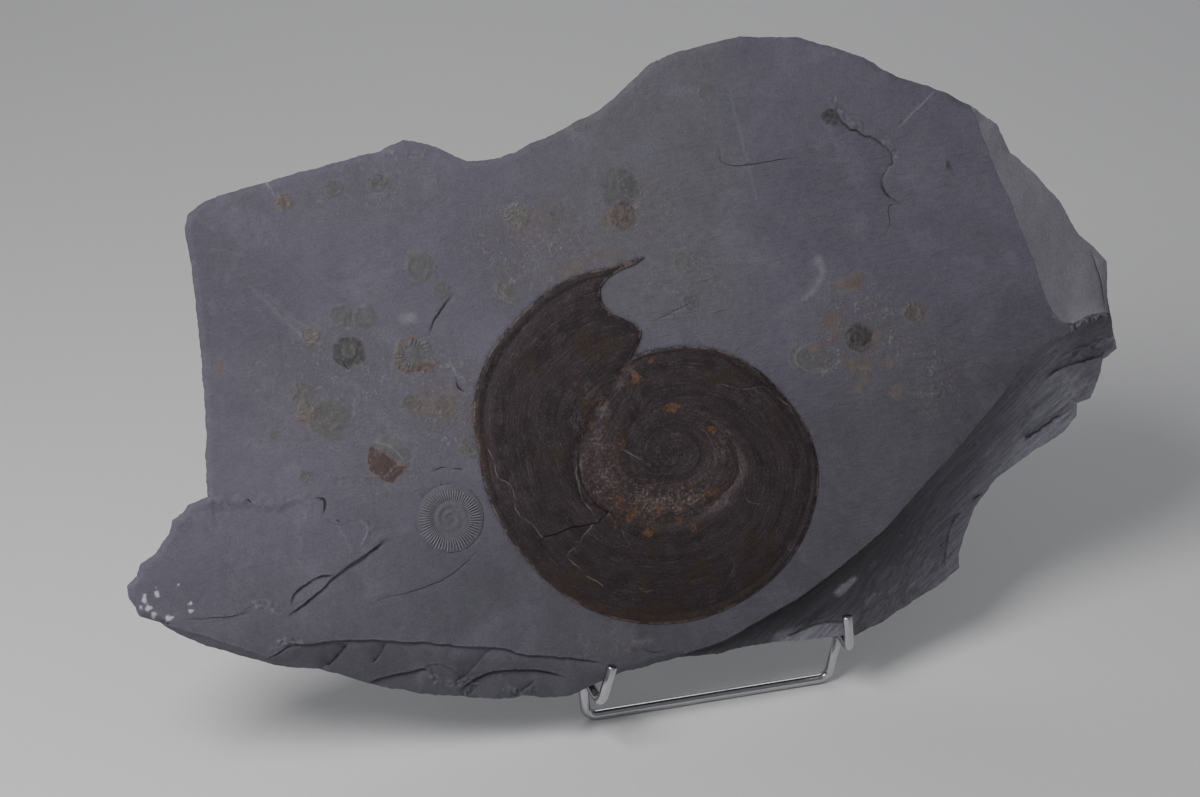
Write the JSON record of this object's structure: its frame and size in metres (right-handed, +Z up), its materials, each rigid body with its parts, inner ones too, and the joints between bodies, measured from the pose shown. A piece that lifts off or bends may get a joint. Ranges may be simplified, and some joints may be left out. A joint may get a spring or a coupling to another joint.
{
  "type": "ammonite fossil slab",
  "caption": "Broken slab of grey shale with a large flattened ammonite and a small ribbed one, leaning back on a stand of bent chromed rod.",
  "frame": {"origin": "on the table, under the middle of the whole object", "axes": "+X to the viewer's right along the slab's longest side, +Y back from the fossil face, +Z up"},
  "size_m": [0.5914, 0.236, 0.3541],
  "materials": {
    "shale": "matte",
    "fossil_shell": "satin",
    "rod": "polished"
  },
  "bodies": {
    "root": {"shale_slab": "shale", "large_ammonite": "fossil_shell", "small_ribbed_ammonite": "shale", "front_foot": "rod", "left_cradle": "rod", "right_cradle": "rod", "backrest_bar": "rod", "rear_leg": "rod"}
  },
  "joints": []
}
